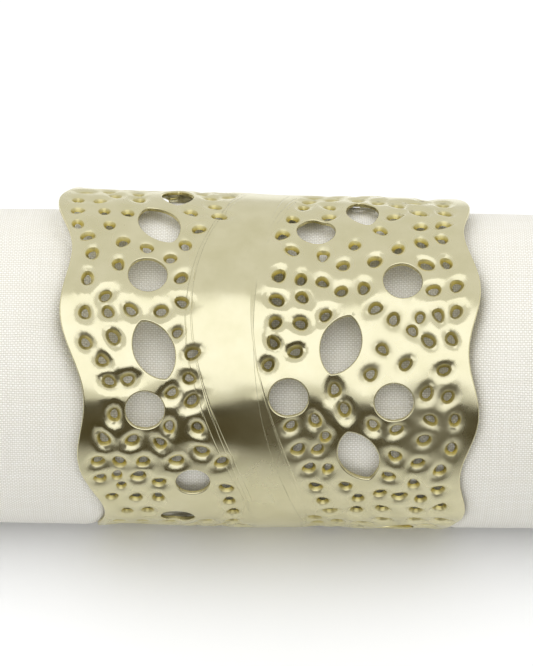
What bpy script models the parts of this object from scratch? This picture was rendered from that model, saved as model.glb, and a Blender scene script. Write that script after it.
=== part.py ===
"""A table napkin, folded in three and rolled up, held in a wide pierced brass napkin ring.

The roll lies along X. Both pieces stand on the plane z = 0, and the origin is under the middle of the
roll. Angles run round the roll: 0 degrees faces the front (-Y), 90 is up, 180 is the back, 270 is down.
Sizes below are in millimetres and degrees, and MM turns a size into metres.
"""

import math

import bmesh
import bpy
from mathutils import Vector

MM = 0.001

# ------------------------------------------------------------------ driving sizes
ROLL_LENGTH = 170.0
ROLL_RADIUS = 21.35
ROLL_CENTRE_HEIGHT = 20.85  # less than the radius, so the soft roll lies on a flat spot
CLOTH_LAYERS = 3
LAYER_PITCH = 0.82  # one layer of cloth and the air beside it
STRIP_THICKNESS = 2.0  # the three layers of the folded napkin, pressed together
CORE_RADIUS = 3.0  # the eye in the middle of the roll
LOOSE_EDGE_ANGLE = 205.0  # where the last edge of the cloth lies, low on the back
EMERGE_ANGLE = 48.0  # arc in which the turn below comes out from under that edge
ROLL_SEGMENTS = 72
EDGE_ROUNDING = 0.9  # the folds at the ends of the roll are round
UNEVENNESS = 0.12  # how far the cloth wanders from a true roll

GROOVE_DEPTH = 4.0  # how deep the gap between the turns is cut into each end
GROOVE_STEP = 15.0  # degrees between two points of that gap

SHEET = 0.8
RING_RADIUS_LEFT = 22.75
RING_RADIUS_RIGHT = 22.15
RING_TAPER_SPAN = 54.0  # the two radii above belong to planes this far apart
RING_SEGMENTS = 120
CLOTH_CLEARANCE = 0.8  # between the cloth and the inside of the ring

# The cloth outside the ring's edge: distance from the edge, and share of the way from the pinched to
# the free section there.
SWELL = (
    (0.4, 0.0),
    (1.4, 0.55),
    (2.6, 0.9),
    (5.0, 1.0),
)
INSIDE_EDGE = 4.0

# ------------------------------------------------------------------ the openings of the ring
ROUND = {"length": 5.0, "width": 5.0, "point": 0.0}
SMALL_ROUND = {"length": 4.4, "width": 4.4, "point": 0.0}
LEAF = {"length": 8.0, "width": 5.1, "point": 0.35}
SLIM_LEAF = {"length": 7.0, "width": 4.2, "point": 0.35}
OUTLINE_POINTS = 20

# angle round the ring, place along it, shape, lean of its long side from the way round
OPENINGS = (
    (107, -11.3, SLIM_LEAF, 0),
    (86, -13.5, LEAF, 26),
    (63, -14.7, ROUND, 0),
    (37, -13.7, LEAF, 24),
    (17, -14.8, ROUND, 0),
    (-11, -8.7, SMALL_ROUND, 0),
    (-34, -10.8, SMALL_ROUND, 0),
    (-60, -12.0, LEAF, -20),
    (-87, -10.5, ROUND, 0),
    (-111, -13.8, SLIM_LEAF, 22),
    (-137, -12.5, ROUND, 0),
    (-160, -14.2, LEAF, -24),
    (-191, -12.0, ROUND, 0),
    (-218, -15.5, LEAF, 15),
    (97, 13.0, SLIM_LEAF, 8),
    (84, 6.9, ROUND, 0),
    (63, 18.0, ROUND, 0),
    (40, 10.1, LEAF, -18),
    (22, 3.5, ROUND, 0),
    (21, 17.0, ROUND, 0),
    (1, 12.6, LEAF, 22),
    (-49, 17.6, LEAF, -30),
    (-72, 9.5, ROUND, 0),
    (-100, 16.0, LEAF, 24),
    (-122, 6.5, ROUND, 0),
    (-143, 15.5, ROUND, 0),
    (-164, 9.0, LEAF, -20),
    (-193, 16.0, ROUND, 0),
    (-217, 10.5, LEAF, 18),
    (-239, 17.5, ROUND, 0),
)

NAPKIN_COLOUR = (0.88, 0.87, 0.83, 1.0)
BRASS_COLOUR = (0.80, 0.74, 0.48, 1.0)


# ------------------------------------------------------------------ scene helpers
def clear_scene():
    for obj in list(bpy.data.objects):
        bpy.data.objects.remove(obj)


def material(name, colour, roughness, metallic):
    made = bpy.data.materials.new(name)
    made.use_nodes = True
    shader = made.node_tree.nodes["Principled BSDF"]
    shader.inputs["Base Color"].default_value = colour
    shader.inputs["Roughness"].default_value = roughness
    shader.inputs["Metallic"].default_value = metallic
    return made


def object_from(bm, name, made_of=None):
    bmesh.ops.recalc_face_normals(bm, faces=bm.faces)
    mesh = bpy.data.meshes.new(name)
    bm.to_mesh(mesh)
    bm.free()
    obj = bpy.data.objects.new(name, mesh)
    bpy.context.scene.collection.objects.link(obj)
    if made_of:
        mesh.materials.append(made_of)
        mesh.shade_smooth()
        mesh.set_sharp_from_angle(angle=math.radians(35))
    return obj


def cut_away(obj, cutter):
    cutter.hide_render = True
    cutter.display_type = "WIRE"
    modifier = obj.modifiers.new("cut", "BOOLEAN")
    modifier.operation = "DIFFERENCE"
    modifier.solver = "EXACT"
    modifier.object = cutter


def bridge(bm, first, second):
    """Faces between two closed loops of as many vertices."""
    count = len(first)
    for i in range(count):
        j = (i + 1) % count
        bm.faces.new((first[i], first[j], second[j], second[i]))


def smooth(share):
    share = min(1.0, max(0.0, share))
    return share * share * (3.0 - 2.0 * share)


# ------------------------------------------------------------------ the ring's sheet
def left_edge(angle):
    """Where the ring's wavy left edge lies along X, at an angle in degrees."""
    a = math.radians(angle)
    lean = -2.7 * math.sin(a - math.radians(12))
    return -23.2 + lean - 1.0 * math.cos(7 * (a - math.radians(48)))


def right_edge(angle):
    a = math.radians(angle)
    lean = 1.7 * math.cos(a - math.radians(46))
    return 25.6 + lean + 0.8 * math.cos(8 * (a - math.radians(16)))


def ring_radius(x):
    share = x / RING_TAPER_SPAN + 0.5
    return RING_RADIUS_LEFT + (RING_RADIUS_RIGHT - RING_RADIUS_LEFT) * share


def ring_centre_height(x):
    """The lowest facet of the ring lies flat on z = 0."""
    return ring_radius(x) * math.cos(math.pi / RING_SEGMENTS)


def ring_point(x, angle, depth):
    """A point of the sheet, at a depth below its outer face."""
    a = math.radians(angle)
    radius = ring_radius(x) - depth
    height = ring_centre_height(x) + radius * math.sin(a)
    return Vector((x, -radius * math.cos(a), height)) * MM


def opening_outline(shape):
    """Points of a round or leaf-shaped opening: (along the roll, round the roll)."""
    points = []
    for i in range(OUTLINE_POINTS):
        t = 2 * math.pi * i / OUTLINE_POINTS
        side = math.sin(t)
        across = 0.5 * shape["width"] * side * abs(side) ** shape["point"]
        points.append((across, 0.5 * shape["length"] * math.cos(t)))
    return points


def add_opening_cutter(bm, angle, along, shape, lean):
    """A straight prism through the sheet, square to it at its middle."""
    a = math.radians(angle)
    tilt = math.radians(lean)
    outward = Vector((0, -math.cos(a), math.sin(a)))
    way_round = Vector((0, math.sin(a), math.cos(a)))
    middle = ring_point(along, angle, SHEET / 2)
    loops = []
    for reach in (-3 * SHEET, 3 * SHEET):
        loop = []
        for across, length in opening_outline(shape):
            x = across * math.cos(tilt) - length * math.sin(tilt)
            t = across * math.sin(tilt) + length * math.cos(tilt)
            point = middle + (Vector((x, 0, 0)) + way_round * t + outward * reach) * MM
            loop.append(bm.verts.new(point))
        loops.append(loop)
    bridge(bm, loops[0], loops[1])
    bm.faces.new(loops[0])
    bm.faces.new(loops[1])


def build_ring(brass):
    bm = bmesh.new()
    loops = [[], [], [], []]
    for i in range(RING_SEGMENTS):
        angle = 360.0 * (i + 0.5) / RING_SEGMENTS + 270.0
        corners = (
            ring_point(left_edge(angle), angle, 0),
            ring_point(right_edge(angle), angle, 0),
            ring_point(right_edge(angle), angle, SHEET),
            ring_point(left_edge(angle), angle, SHEET),
        )
        for loop, corner in zip(loops, corners):
            loop.append(bm.verts.new(corner))
    for i in range(len(loops)):
        bridge(bm, loops[i], loops[(i + 1) % len(loops)])
    ring = object_from(bm, "ring", brass)

    cutters = bmesh.new()
    for angle, along, shape, lean in OPENINGS:
        add_opening_cutter(cutters, angle, along, shape, lean)
    cut_away(ring, object_from(cutters, "ring_openings"))


# ------------------------------------------------------------------ the rolled napkin
TURN_PITCH = CLOTH_LAYERS * LAYER_PITCH


def turns_in(turned):
    """How many turns deep the cloth lies, for degrees wound back from the loose edge.

    The last turn keeps to the full radius until it nears the loose edge's line again, and the turns
    further in settle towards an even spiral.
    """
    whole = math.floor(turned / 360.0)
    part = turned / 360.0 - whole
    late = smooth((part - 1.0 + EMERGE_ANGLE / 360.0) * 360.0 / EMERGE_ANGLE)
    evenness = min(1.0, whole / 2.0)
    return whole + late * (1.0 - evenness) + part * evenness


def roll_radius(angle):
    """Outer radius of the roll on its own, for an angle from the loose edge up to a turn past it."""
    wound_back = LOOSE_EDGE_ANGLE + 360.0 - angle
    a = math.radians(angle)
    uneven = UNEVENNESS * (math.sin(2 * a + 0.6) + 0.5 * math.sin(5 * a))
    return ROLL_RADIUS - TURN_PITCH * turns_in(wound_back) + uneven


def pinched_radius(angle, x):
    """Radius of the roll inside the ring, which is as far as the ring lets it reach."""
    a = math.radians(angle)
    rise = ring_centre_height(x) - ROLL_CENTRE_HEIGHT
    reach = ring_radius(x) - SHEET - CLOTH_CLEARANCE
    wall = rise * math.sin(a) + math.sqrt(reach**2 - (rise * math.cos(a)) ** 2)
    return min(wall, roll_radius(angle))


def roll_stations():
    """Functions of the angle: where each section of the roll lies, how free it is, how much rounded."""
    half = ROLL_LENGTH / 2
    left = [
        (lambda a: -half, 1.0, EDGE_ROUNDING),
        (lambda a: -half + EDGE_ROUNDING, 1.0, 0.0),
        (lambda a: -half * 0.66, 1.0, 0.0),
    ]
    right = [
        (lambda a: half * 0.66, 1.0, 0.0),
        (lambda a: half - EDGE_ROUNDING, 1.0, 0.0),
        (lambda a: half, 1.0, EDGE_ROUNDING),
    ]
    before = [(lambda a, d=d: left_edge(a) - d, free, 0.0) for d, free in reversed(SWELL)]
    after = [(lambda a, d=d: right_edge(a) + d, free, 0.0) for d, free in SWELL]
    inside = [
        (lambda a: left_edge(a) + INSIDE_EDGE, 0.0, 0.0),
        (lambda a: 0.0, 0.0, 0.0),
        (lambda a: right_edge(a) - INSIDE_EDGE, 0.0, 0.0),
    ]
    return left + before + inside + after + right


def roll_point(angle, x, free, rounding):
    a = math.radians(angle)
    pinched = pinched_radius(angle, x)
    radius = pinched + (roll_radius(angle) - pinched) * free - rounding
    height = ROLL_CENTRE_HEIGHT + radius * math.sin(a)
    return Vector((x, -radius * math.cos(a), max(height, 0.0))) * MM


def groove_points():
    """The gap between the turns, as (angle, outer radius, inner radius), from the loose edge inwards."""
    points = []
    turned = -GROOVE_STEP / 2
    while True:
        under = ROLL_RADIUS - STRIP_THICKNESS - TURN_PITCH * turns_in(max(turned, 0.0))
        below = under - (TURN_PITCH - STRIP_THICKNESS)
        if below < CORE_RADIUS:
            return points
        points.append((LOOSE_EDGE_ANGLE - turned, under, below))
        turned += GROOVE_STEP


def add_groove_cutter(bm, end):
    """The spiral gap seen in one end of the roll; end is -1 or 1."""
    mouth = end * (ROLL_LENGTH / 2 + 1.0)
    floor = end * (ROLL_LENGTH / 2 - GROOVE_DEPTH)
    last = None
    for angle, under, below in groove_points():
        a = math.radians(angle)
        section = []
        for x, radius in ((mouth, under), (mouth, below), (floor, below), (floor, under)):
            height = ROLL_CENTRE_HEIGHT + radius * math.sin(a)
            section.append(bm.verts.new(Vector((x, -radius * math.cos(a), height)) * MM))
        if last:
            bridge(bm, last, section)
        else:
            bm.faces.new(section)
        last = section
    bm.faces.new(last)


def add_eye_cutter(bm, end):
    """The open middle of the roll, as deep as the grooves."""
    loops = []
    for x in (end * (ROLL_LENGTH / 2 + 1.0), end * (ROLL_LENGTH / 2 - GROOVE_DEPTH)):
        loop = []
        for i in range(12):
            a = 2 * math.pi * i / 12
            y = -(CORE_RADIUS - 0.6) * math.cos(a)
            height = ROLL_CENTRE_HEIGHT + (CORE_RADIUS - 0.6) * math.sin(a)
            loop.append(bm.verts.new(Vector((x, y, height)) * MM))
        loops.append(loop)
    bridge(bm, loops[0], loops[1])
    bm.faces.new(loops[0])
    bm.faces.new(loops[1])


def build_napkin(linen):
    bm = bmesh.new()
    angles = [LOOSE_EDGE_ANGLE + 360.0 * i / ROLL_SEGMENTS for i in range(ROLL_SEGMENTS + 1)]
    loops = []
    for place, free, rounding in roll_stations():
        points = [roll_point(angle, place(angle), free, rounding) for angle in angles]
        loops.append([bm.verts.new(point) for point in points])
    for first, second in zip(loops, loops[1:]):
        bridge(bm, first, second)
    bm.faces.new(loops[0])
    bm.faces.new(loops[-1])
    napkin = object_from(bm, "napkin", linen)

    cutters = bmesh.new()
    for end in (-1, 1):
        add_groove_cutter(cutters, end)
        add_eye_cutter(cutters, end)
    cut_away(napkin, object_from(cutters, "napkin_gaps"))


clear_scene()
build_napkin(material("linen", NAPKIN_COLOUR, 0.9, 0.0))
build_ring(material("brass", BRASS_COLOUR, 0.3, 1.0))
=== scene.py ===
# %% [markdown]
# # A rolled napkin in a pierced brass ring
#
# A square white napkin is folded in three, rolled up and pushed through a wide ring of pale brass.
# The roll lies along X on the plane z = 0, and the reader stands at -Y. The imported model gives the
# size and place of both pieces. This script replaces each with a detailed mesh in the same place.
#
# Sizes are in millimetres and degrees, and MM turns a size into metres. An angle runs round the
# roll: 0 faces the front (-Y), 90 is up, 180 is the back and 270 is down.

# %% Load the frame
import functools
import math
import random

import bmesh
import bpy
import numpy as np
from mathutils import Matrix, Vector
from mathutils.geometry import delaunay_2d_cdt


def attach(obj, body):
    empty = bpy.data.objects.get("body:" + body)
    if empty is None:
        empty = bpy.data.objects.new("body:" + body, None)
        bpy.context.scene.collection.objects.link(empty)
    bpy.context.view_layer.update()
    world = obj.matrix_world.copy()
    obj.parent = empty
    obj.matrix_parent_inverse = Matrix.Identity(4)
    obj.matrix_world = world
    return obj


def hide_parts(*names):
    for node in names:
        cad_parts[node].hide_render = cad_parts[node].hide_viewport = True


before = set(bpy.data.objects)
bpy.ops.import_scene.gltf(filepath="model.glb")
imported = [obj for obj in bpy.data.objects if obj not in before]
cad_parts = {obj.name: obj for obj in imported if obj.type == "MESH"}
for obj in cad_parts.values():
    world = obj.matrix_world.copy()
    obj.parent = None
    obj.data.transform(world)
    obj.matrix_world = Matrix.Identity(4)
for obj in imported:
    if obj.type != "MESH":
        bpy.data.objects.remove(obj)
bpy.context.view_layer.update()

MM = 0.001

# %% [markdown]
# ## The studio
#
# A polished metal shows what stands round it, so the surroundings are part of its look. Brass sheet
# bent into a tube mirrors a tall slice of the studio: from top to bottom it shows the pale room
# above, a big soft light in front, the dark end of the room beyond the table's edge, and the white
# table. Each is one simple thing here: the world's colour, an area light, a dark card with a low
# wall behind it, and a floor.
#
# Matt cloth and paper want something else, broad light that casts a soft shadow. So the studio is
# split. The soft light, the card and the wall show only in reflections. A broad light overhead and
# a dark panel in front act only on matt surfaces. The world and the floor serve both.

# %% Colours are written as sRGB hex values
def linear(hex_colour):
    """Linear RGBA for an sRGB colour such as "#DDCC99"."""
    channels = [int(hex_colour[i:i + 2], 16) / 255 for i in (1, 3, 5)]
    return [c / 12.92 if c <= 0.04045 else ((c + 0.055) / 1.055) ** 2.4 for c in channels] + [1.0]


# %% A node with its settings and links
def add_node(tree, kind, **sockets):
    """Adds a node. A keyword names an input socket, with _ for a space, or else a setting.

    A socket's value is a number, a colour, an output socket, or a node, for its first output.
    """
    node = tree.nodes.new("ShaderNode" + kind)
    for name, value in sockets.items():
        title = name.replace("_", " ").title()
        place = int(name[2:]) if name.startswith("in") and name[2:].isdigit() else title
        if isinstance(place, str) and place not in node.inputs:
            setattr(node, name, value)
            continue
        socket = node.inputs[place]
        value = value.outputs[0] if isinstance(value, bpy.types.Node) else value
        if isinstance(value, bpy.types.NodeSocket):
            tree.links.new(value, socket)
        else:
            socket.default_value = value
    return node


# %% Materials and objects are made in the same way each time
def new_material(name):
    """A material without nodes, and add_node for its tree."""
    material = bpy.data.materials.new(name)
    material.use_nodes = True
    material.node_tree.nodes.clear()
    return material, functools.partial(add_node, material.node_tree)


def new_object(name, data):
    obj = bpy.data.objects.new(name, data)
    bpy.context.scene.collection.objects.link(obj)
    return obj


def hide_from(obj, *rays):
    """Keeps an object out of some kinds of light path, such as "camera" or "glossy"."""
    for ray in rays:
        setattr(obj, "visible_" + ray, False)


# %% The world is a pale room
ROOM_LIGHT = 0.725
world = bpy.data.worlds.new("pale room")
world.use_nodes = True
background = world.node_tree.nodes["Background"]
background.inputs["Color"].default_value = linear("#FFFEFA")
background.inputs["Strength"].default_value = ROOM_LIGHT
bpy.context.scene.world = world
bpy.context.scene.view_settings.view_transform = "Standard"

# %% The camera looks down on the ring
CAMERA_ELEVATION = math.radians(34)
CAMERA_DISTANCE = 425 * MM
CAMERA_ROLL = math.radians(0.65)
LENS = 171
LOOK_AT = Vector((0.6 * MM, 0, 22.4 * MM))
FRAME_ABOVE = 3.65 * MM  # the ring sits a little below the middle of the frame

camera_data = bpy.data.cameras.new("camera")
camera_data.lens = LENS
camera_data.clip_start = 10 * MM
camera = new_object("camera", camera_data)
towards = Vector((0, -math.cos(CAMERA_ELEVATION), math.sin(CAMERA_ELEVATION)))
upwards = Vector((0, math.sin(CAMERA_ELEVATION), math.cos(CAMERA_ELEVATION)))
axes = Matrix((Vector((1, 0, 0)), upwards, towards)).transposed()
turn = Matrix.Rotation(CAMERA_ROLL, 3, "Z")
camera.matrix_world = Matrix.Translation(
    LOOK_AT + towards * CAMERA_DISTANCE + upwards * FRAME_ABOVE
) @ (axes @ turn).to_4x4()
bpy.context.scene.camera = camera
print("camera at", [round(v, 3) for v in camera.matrix_world.translation])

# %% Area lights
def area_light(name, place, width, height, watts, colour):
    """A light that faces LOOK_AT. Sizes are in metres."""
    data = bpy.data.lights.new(name, "AREA")
    data.shape = "RECTANGLE"
    data.size, data.size_y = width, height
    data.energy = watts
    data.color = linear(colour)[:3]
    light = new_object(name, data)
    light.location = place
    light.rotation_euler = (place - LOOK_AT).to_track_quat("Z", "Y").to_euler()
    return light


# %% A soft light in front and above, which shows only in the metal
LIGHT_ELEVATION = math.radians(45)
LIGHT_DISTANCE = 0.60
LIGHT_WIDTH = 0.90
LIGHT_HEIGHT = 0.66
LIGHT_WATTS = 1.08

light_side = Vector((0, -math.cos(LIGHT_ELEVATION), math.sin(LIGHT_ELEVATION)))
soft_light = area_light("soft light", LOOK_AT + light_side * LIGHT_DISTANCE,
                        LIGHT_WIDTH, LIGHT_HEIGHT, LIGHT_WATTS, "#ECEFFF")
hide_from(soft_light, "diffuse")

# %% A broad light overhead, which lights only the cloth and the floor
OVERHEAD_PLACE = Vector((-0.15, -0.30, 0.84))
OVERHEAD_SIZE = 1.7
OVERHEAD_WATTS = 9.2

overhead = area_light("overhead light", OVERHEAD_PLACE,
                      OVERHEAD_SIZE, OVERHEAD_SIZE, OVERHEAD_WATTS, "#FFFFFF")
hide_from(overhead, "glossy")

# %% The white floor
HALF_ROOM = 3  # metres to each side


def panel(name, start, end):
    """A flat rectangle across the whole room, from one (y, z) to another."""
    corners = [(-HALF_ROOM, *start), (HALF_ROOM, *start), (HALF_ROOM, *end), (-HALF_ROOM, *end)]
    mesh = bpy.data.meshes.new(name)
    mesh.from_pydata(corners, [], [(0, 1, 2, 3)])
    return new_object(name, mesh)


FLOOR_GLOW = 0.11  # light that comes up through the thin paper

floor = panel("floor", (-HALF_ROOM, 0), (HALF_ROOM, 0))
paper, add = new_material("matt white paper")
grain = add("TexNoise", scale=90.0, detail=3.0)
tone = add("ValToRGB", in0=grain)
for stop, shade in zip(tone.color_ramp.elements, ("#E9EAEC", "#EEEFF1")):
    stop.color = linear(shade)
shader = add(
    "BsdfPrincipled", base_color=tone, roughness=0.9, emission_color=linear("#FFFFFF"),
    emission_strength=FLOOR_GLOW,
)
add("OutputMaterial", surface=shader)
floor.data.materials.append(paper)

# %% A dark card and wall, for the room beyond the table's edge
TABLE_EDGE = -14 * MM
FADE_START = -70 * MM  # from here to the table's edge the card fades to the paper's white
ROOM_WALL = -600 * MM
WALL_HEIGHT = 95 * MM
CARD_HEIGHT = 1 * MM

velvet, add = new_material("brown velvet")
fuzz = add("TexNoise", scale=40.0)
tone = add("ValToRGB", in0=fuzz)
for stop, shade in zip(tone.color_ramp.elements, ("#30280A", "#3A310C")):
    stop.color = linear(shade)
place = add("TexCoord").outputs["Object"]
parts = add("SeparateXYZ", vector=place)
faded = add("MapRange", in0=parts.outputs[1], in1=FADE_START, in2=TABLE_EDGE)
colour = add("Mix", data_type="RGBA", in0=faded, in6=tone, in7=linear("#F2F3F5"))
shader = add("BsdfPrincipled", base_color=colour.outputs[2], roughness=1.0)
add("OutputMaterial", surface=shader)

cards = [
    panel("dark card", (ROOM_WALL, CARD_HEIGHT), (TABLE_EDGE, CARD_HEIGHT)),
    panel("dark wall", (ROOM_WALL, 0), (ROOM_WALL, WALL_HEIGHT)),
]
for card in cards:
    card.data.materials.append(velvet)
    hide_from(card, "camera", "diffuse", "shadow", "transmission")

# %% A dark panel in front, which shades only the cloth and the floor
ROOM_DISTANCE = 0.9
ROOM_HEIGHT = 0.46
dark_room = panel("dark room", (-ROOM_DISTANCE, 0), (-ROOM_DISTANCE, ROOM_HEIGHT))
dark_room.data.materials.append(velvet)
hide_from(dark_room, "camera", "glossy", "shadow")

# %% [markdown]
# ## Pale brass
#
# The ring is brass sheet, rolled thin, pierced, bent and then polished to a satin with a pale
# finish. Satin brass is a metal with a warm yellow-white colour and a roughness near 0.2, which
# turns the mirrored studio into soft bands. Two things keep it from looking like plastic film: the
# faint lines of the rolling mill along the strip, and the raw yellow metal that a punch leaves on
# the walls of each hole. The walls are marked by a value stored on the mesh, so the colour follows
# the shape.

# %% Satin brass, rolled and punched
STRETCHED_ROUGHNESS = 0.30  # added where the sheet is dented deepest
MILL_DEPTH = 0.02 * MM
GROOVE_DEPTH = 0.05 * MM
GROOVE_REACH = 0.14  # millimetres from the middle of a scribed line to the end of its shoulder


def make_brass():
    """Sheet coordinates come from the mesh: u runs along the roll and v round it, in metres."""
    material, add = new_material("satin brass, pale finish, rolled and punched")
    sheet = add("UVMap", uv_map="sheet")
    punched = add("Attribute", attribute_name="punched").outputs["Fac"]

    # Mill lines run along the strip: about 0.15 mm apart across it, and centimetres long.
    stretched = add("Mapping", vector=sheet, scale=(6500, 90, 1))
    mill = add("TexNoise", vector=stretched, scale=1.0, detail=2.0)
    # Handling leaves a faint cloudiness a few millimetres across.
    cloud = add("TexNoise", vector=sheet, scale=260.0, detail=4.0)

    face = add("ValToRGB", in0=cloud)
    for stop, place, shade in zip(face.color_ramp.elements, (0.3, 0.7), ("#E7E1BA", "#F0EAC6")):
        stop.position, stop.color = place, linear(shade)
    colour = add("Mix", data_type="RGBA", in0=punched, in6=face, in7=linear("#CABC6E"))
    shine = add("MapRange", in0=cloud, in1=0.25, in2=0.75, in3=0.15, in4=0.21)
    # Metal that the punch has stretched is less polished, so its reflections are softer.
    dented = add("Attribute", attribute_name="dented").outputs["Fac"]
    roughness = add(
        "Math", operation="MULTIPLY_ADD", in0=dented, in1=STRETCHED_ROUGHNESS, in2=shine,
    )
    mill_relief = add("Bump", height=mill, strength=0.06, distance=MILL_DEPTH)
    # Each scribed line is a groove with soft shoulders. The mesh stores how far off it is, in mm.
    away = add("Attribute", attribute_name="scribed").outputs["Vector"]
    offsets = add("SeparateXYZ", vector=away)
    groove = 0.0
    for offset in offsets.outputs:
        off = add("Math", operation="ABSOLUTE", in0=offset)
        cut = add(
            "MapRange", interpolation_type="SMOOTHERSTEP", in0=off, in1=0.0, in2=GROOVE_REACH,
            in3=1.0, in4=0.0,
        )
        groove = add("Math", operation="MAXIMUM", in0=groove, in1=cut)
    relief = add(
        "Bump", height=groove, strength=1.0, distance=GROOVE_DEPTH, invert=True,
        normal=mill_relief,
    )
    shader = add(
        "BsdfPrincipled", base_color=colour.outputs[2], metallic=1.0, roughness=roughness,
        normal=relief,
    )
    add("OutputMaterial", surface=shader)
    return material


brass = make_brass()

# %% [markdown]
# ## The ring's sheet, laid flat
#
# A maker draws the ring flat, pierces it and only then bends it round. The mesh is made the same
# way. First come the outline and the places of the openings, as x along the roll and an angle round
# it. The two edges are cut in waves, seven on the left and eight on the right, and the strip
# between them is left plain in a band that sways twice round the ring.

# %% Sizes of the ring
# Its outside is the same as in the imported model. Its sheet is thinner, as brass of this kind is.
SHEET = 0.55
RADIUS_LEFT = 22.75
RADIUS_RIGHT = 22.15
TAPER_SPAN = 54.0
MEAN_RADIUS = 22.45  # the radius at which angles and lengths round the ring are matched
FACETS = 120
DEGREE = math.radians(1) * MEAN_RADIUS  # millimetres round the ring for one degree


def left_edge(angle):
    a = np.radians(angle)
    return -23.2 - 2.7 * np.sin(a - np.radians(12)) - 1.0 * np.cos(7 * (a - np.radians(48)))


def right_edge(angle):
    a = np.radians(angle)
    return 25.6 + 1.7 * np.cos(a - np.radians(46)) + 0.8 * np.cos(8 * (a - np.radians(16)))


def ring_radius(x):
    return RADIUS_LEFT + (RADIUS_RIGHT - RADIUS_LEFT) * (x / TAPER_SPAN + 0.5)


def ring_centre_height(x):
    return ring_radius(x) * math.cos(math.pi / FACETS)


print("ring is", round(ring_radius(-27) * 2, 1), "mm across at the left,",
      round(ring_radius(27) * 2, 1), "at the right")

# %% The plain band
def band_centre(angle):
    return -1.2 - 3.9 * np.cos(2 * np.radians(angle - 50))


def band_half_width(angle):
    return 3.6 + 0.45 * np.cos(np.radians(angle - 75))


# %% Lines scribed beside the band
LINE_FADING = 12  # how much finer a line gets where it isn't cut

# Two or three lines run along each side of the band, wander across one another and fade out.
# side of the band, offset from its edge, wander, waves round the ring, phase, share that is cut
SCRIBED = (
    (-1, 0.00, 0.12, 3, 0.3, 1.0),
    (-1, 0.34, 0.26, 3, 1.9, 0.8),
    (-1, -0.40, 0.50, 2, 4.0, 0.5),
    (1, 0.00, 0.10, 3, 2.1, 1.0),
    (1, -0.32, 0.28, 3, 0.4, 0.8),
    (1, -0.80, 0.90, 3, 5.0, 0.5),
)


def scribed_distances(x, angle):
    """Millimetres from the three scribed lines on the same side of the band, for arrays.

    They are negative towards the middle of the band.
    """
    side = np.where(x < band_centre(angle), -1, 1)
    found = np.zeros((len(x), 3))
    for index, (line_side, offset, wander, waves, phase, cut_share) in enumerate(SCRIBED):
        a = np.radians(angle)
        drift = wander * np.sin(waves * a + phase)
        line = band_centre(angle) + line_side * band_half_width(angle) + offset + drift
        lifted = np.maximum(0.0, 0.5 + 0.5 * np.sin(2 * a + 2.7 * phase) - cut_share)
        away = line_side * (x - line) * (1 + LINE_FADING * lifted)
        found[:, index % 3] = np.where(side == line_side, away, found[:, index % 3])
    return found


# %% The large openings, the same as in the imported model
ROUND = {"length": 5.0, "width": 5.0, "point": 0.0}
SMALL_ROUND = {"length": 4.4, "width": 4.4, "point": 0.0}
LEAF = {"length": 8.0, "width": 5.1, "point": 0.35}
SLIM_LEAF = {"length": 7.0, "width": 4.2, "point": 0.35}

# angle round the ring, place along it, shape, lean of its long side from the way round
OPENINGS = (
    (107, -11.3, SLIM_LEAF, 0),
    (86, -13.5, LEAF, 26),
    (63, -14.7, ROUND, 0),
    (37, -13.7, LEAF, 24),
    (17, -14.8, ROUND, 0),
    (-11, -8.7, SMALL_ROUND, 0),
    (-34, -10.8, SMALL_ROUND, 0),
    (-60, -12.0, LEAF, -20),
    (-87, -10.5, ROUND, 0),
    (-111, -13.8, SLIM_LEAF, 22),
    (-137, -12.5, ROUND, 0),
    (-160, -14.2, LEAF, -24),
    (-191, -12.0, ROUND, 0),
    (-218, -15.5, LEAF, 15),
    (97, 13.0, SLIM_LEAF, 8),
    (84, 6.9, ROUND, 0),
    (63, 18.0, ROUND, 0),
    (40, 10.1, LEAF, -18),
    (22, 3.5, ROUND, 0),
    (21, 17.0, ROUND, 0),
    (1, 12.6, LEAF, 22),
    (-49, 17.6, LEAF, -30),
    (-72, 9.5, ROUND, 0),
    (-100, 16.0, LEAF, 24),
    (-122, 6.5, ROUND, 0),
    (-143, 15.5, ROUND, 0),
    (-164, 9.0, LEAF, -20),
    (-193, 16.0, ROUND, 0),
    (-217, 10.5, LEAF, 18),
    (-239, 17.5, ROUND, 0),
)
SEAM = -179.0  # where the strip's two ends are soldered together
STRIP_END = SEAM + 360.0


def on_strip(angle):
    """The same angle, moved to lie between the strip's two ends."""
    return SEAM + (angle - SEAM) % 360.0


# %% A cut-out is a closed outline on the flat sheet
OPENING_POINTS = 44
HOLE_POINTS = 14


def cut_outline(cut, grow=0.0):
    """Points (x, round) of a cut's outline, grown outwards by some millimetres."""
    count = HOLE_POINTS if cut["small"] else OPENING_POINTS
    t = 2 * np.pi * np.arange(count) / count
    side = np.sin(t)
    length = 0.5 * cut["length"] + grow
    width = 0.5 * cut["width"] + grow
    blunt = 1 + cut["blunt"] * np.cos(3 * t + cut["phase"])
    across = width * side * np.abs(side) ** cut["point"] * blunt
    along = length * np.cos(t) * blunt
    tilt = math.radians(cut["lean"])
    x = across * math.cos(tilt) - along * math.sin(tilt)
    s = across * math.sin(tilt) + along * math.cos(tilt)
    return np.stack([cut["x"] + x, cut["round"] + s], axis=1)


def in_cut_axes(cut, x, around):
    """(across, along) a cut, for distances from its middle along the roll and round it."""
    tilt = math.radians(cut["lean"])
    across = x * math.cos(tilt) + around * math.sin(tilt)
    return across, -x * math.sin(tilt) + around * math.cos(tilt)


cuts = [
    dict(shape, x=x, round=on_strip(angle) * DEGREE, lean=lean, small=False, blunt=0.0, phase=0.0)
    for angle, x, shape, lean in OPENINGS
]
print(len(cuts), "large openings")

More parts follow.
